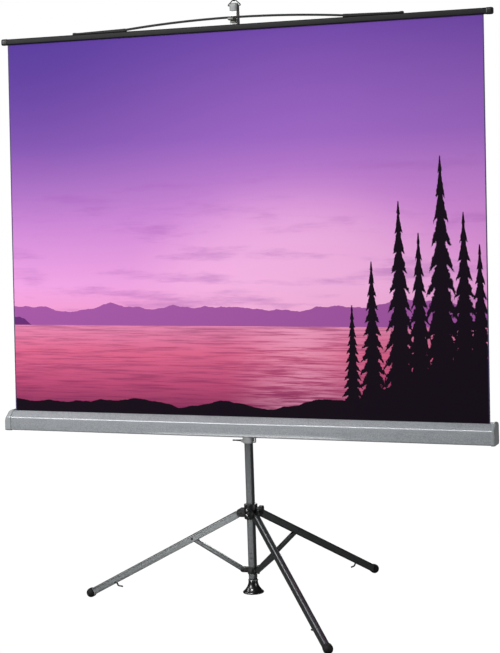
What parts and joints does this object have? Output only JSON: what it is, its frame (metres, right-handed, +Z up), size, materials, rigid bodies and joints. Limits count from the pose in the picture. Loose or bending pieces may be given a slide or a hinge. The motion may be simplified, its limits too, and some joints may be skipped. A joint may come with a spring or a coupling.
{
  "type": "tripod projection screen",
  "caption": "Portable projection screen on a folding tripod stand, with a spring-roller case on the pole and a telescoping extension that hooks and raises the fabric.",
  "frame": {"origin": "centre of the bounding box on the floor, under the pole and a little behind it", "axes": "+Z up along the pole, +X to the viewer's right, the screen faces -Y"},
  "size_m": [1.866, 1.0844, 2.168],
  "materials": {
    "pole_grey": "satin",
    "bright_steel": "brushed",
    "case_silver": "satin",
    "cap_grey": "matte",
    "black_plastic": "matte",
    "black_steel": "satin",
    "leg_grey": "satin",
    "foot_rubber": "matte",
    "screen_fabric": "matte",
    "slat_black": "satin",
    "strap_black": "matte",
    "cap_light": "matte",
    "wire": "satin"
  },
  "bodies": {
    "stand": {"outer_tube": "pole_grey", "lower_bracket": "black_plastic", "lower_pin_left": "wire", "lower_pin_front": "wire", "lower_pin_right": "wire", "pole_stem": "black_plastic", "stem_ring": "bright_steel", "pole_foot": "black_plastic", "tube_collar": "black_plastic", "fabric_lower": "screen_fabric", "fabric_upper": "screen_fabric"},
    "extension_clamp": {"extension_knob": "black_plastic"},
    "carriage": {"carriage_sleeve": "bright_steel", "carriage_plate": "black_steel", "case_plate": "black_steel", "swivel_bolt": "bright_steel", "case_shell": "case_silver", "case_cap_left": "cap_grey", "case_cap_right": "cap_grey", "spring_arbor": "bright_steel", "idle_pin": "bright_steel"},
    "lever": {"case_lever": "black_plastic"},
    "roller": {"roller_tube": "bright_steel", "fabric_roll": "screen_fabric", "roller_bush_left": "black_plastic", "roller_bush_right": "black_plastic", "roller_spring": "bright_steel"},
    "extension": {"extension_tube": "bright_steel", "top_cap": "cap_light", "hook_tongue": "cap_light", "slat": "slat_black", "slat_cap_left": "black_plastic", "slat_cap_right": "black_plastic", "handle_strap": "strap_black", "handle_grip_left": "strap_black", "handle_grip_right": "strap_black"},
    "bail": {"wire_bail": "wire", "bail_tip": "black_plastic"},
    "hub_slider": {"hub": "black_plastic", "hub_pin_left": "black_steel", "hub_pin_front": "black_steel", "hub_pin_right": "black_steel", "hub_bolt_upper": "bright_steel", "hub_bolt_lower": "bright_steel"},
    "hub_clamp": {"hub_knob": "black_plastic"},
    "left_strut": {"strut_left": "black_steel"},
    "left_leg": {"leg_left": "leg_grey", "leg_foot_left": "foot_rubber", "leg_catch_left": "leg_grey", "leg_pin_left": "wire"},
    "front_strut": {"strut_front": "black_steel"},
    "front_leg": {"leg_front": "leg_grey", "leg_foot_front": "foot_rubber", "leg_catch_front": "leg_grey", "leg_pin_front": "wire"},
    "right_strut": {"strut_right": "black_steel"},
    "right_leg": {"leg_right": "leg_grey", "leg_foot_right": "foot_rubber", "leg_catch_right": "leg_grey", "leg_pin_right": "wire"}
  },
  "joints": [
    {"name": "case_height", "type": "slide", "parent": "stand", "child": "carriage", "axis": [0, 0, 1], "range_m": [0, 0.45], "deforming": ["fabric_lower"]},
    {"name": "case_lock", "type": "hinge", "parent": "carriage", "child": "lever", "pos_m": [-0.022, -0.06032, 0.602], "axis": [0, 1, 0], "range_deg": [0, 70]},
    {"name": "extension_slide", "type": "slide", "parent": "stand", "child": "extension", "axis": [0, 0, 1], "range_m": [-0.87, 0], "deforming": ["fabric_upper"]},
    {"name": "extension_lock", "type": "hinge", "parent": "stand", "child": "extension_clamp", "pos_m": [0, -0.06032, 1.189], "axis": [0, 1, 0], "range_deg": [0, 270]},
    {"name": "roller_spin", "type": "hinge", "parent": "carriage", "child": "roller", "pos_m": [0, -0.13132, 0.664], "axis": [1, 0, 0], "range_deg": [0, 2330]},
    {"name": "bail_swing", "type": "hinge", "parent": "extension", "child": "bail", "pos_m": [0, -0.06032, 2.143], "axis": [1, 0, 0], "range_deg": [0, 35]},
    {"name": "hub_lock", "type": "hinge", "parent": "hub_slider", "child": "hub_clamp", "pos_m": [0, -0.06032, 0.3587], "axis": [1, 0, 0], "range_deg": [0, 270]},
    {"name": "strut_fold_left", "type": "hinge", "parent": "stand", "child": "left_strut", "pos_m": [-0.03596, -0.06158, 0.136], "axis": [-0.0349, 0.9994, 0], "range_deg": [0, 46.5]},
    {"name": "leg_fold_left", "type": "hinge", "parent": "left_strut", "child": "left_leg", "pos_m": [-0.22778, -0.06828, 0.23935], "axis": [0.0349, -0.9994, 0], "range_deg": [0, 93]},
    {"name": "hub_rise", "type": "hinge", "parent": "left_leg", "child": "hub_slider", "pos_m": [-0.03596, -0.06158, 0.3427], "axis": [-0.0349, 0.9994, 0], "range_deg": [0, 46.5]},
    {"name": "strut_fold_front", "type": "hinge", "parent": "stand", "child": "front_strut", "pos_m": [0.02486, -0.08634, 0.136], "axis": [-0.723, -0.6909, 0], "range_deg": [0, 46.5]},
    {"name": "leg_fold_front", "type": "hinge", "parent": "front_strut", "child": "front_leg", "pos_m": [0.15747, -0.2251, 0.23935], "axis": [0.723, 0.6909, 0], "range_deg": [0, 93]},
    {"name": "strut_fold_right", "type": "hinge", "parent": "stand", "child": "right_strut", "pos_m": [0.01486, -0.02756, 0.136], "axis": [0.9107, -0.4131, 0], "range_deg": [0, 46.5]},
    {"name": "leg_fold_right", "type": "hinge", "parent": "right_strut", "child": "right_leg", "pos_m": [0.09416, 0.14724, 0.23935], "axis": [-0.9107, 0.4131, 0], "range_deg": [0, 93]}
  ],
  "couplings": [
    {"joint": "roller_spin", "follows": "extension_slide", "rad_per_m": -46.512},
    {"joint": "leg_fold_left", "follows": "strut_fold_left", "ratio": 2},
    {"joint": "hub_rise", "follows": "strut_fold_left", "ratio": 1},
    {"joint": "leg_fold_front", "follows": "strut_fold_left", "ratio": 2},
    {"joint": "strut_fold_front", "follows": "strut_fold_left", "ratio": 1},
    {"joint": "leg_fold_right", "follows": "strut_fold_left", "ratio": 2},
    {"joint": "strut_fold_right", "follows": "strut_fold_left", "ratio": 1}
  ]
}
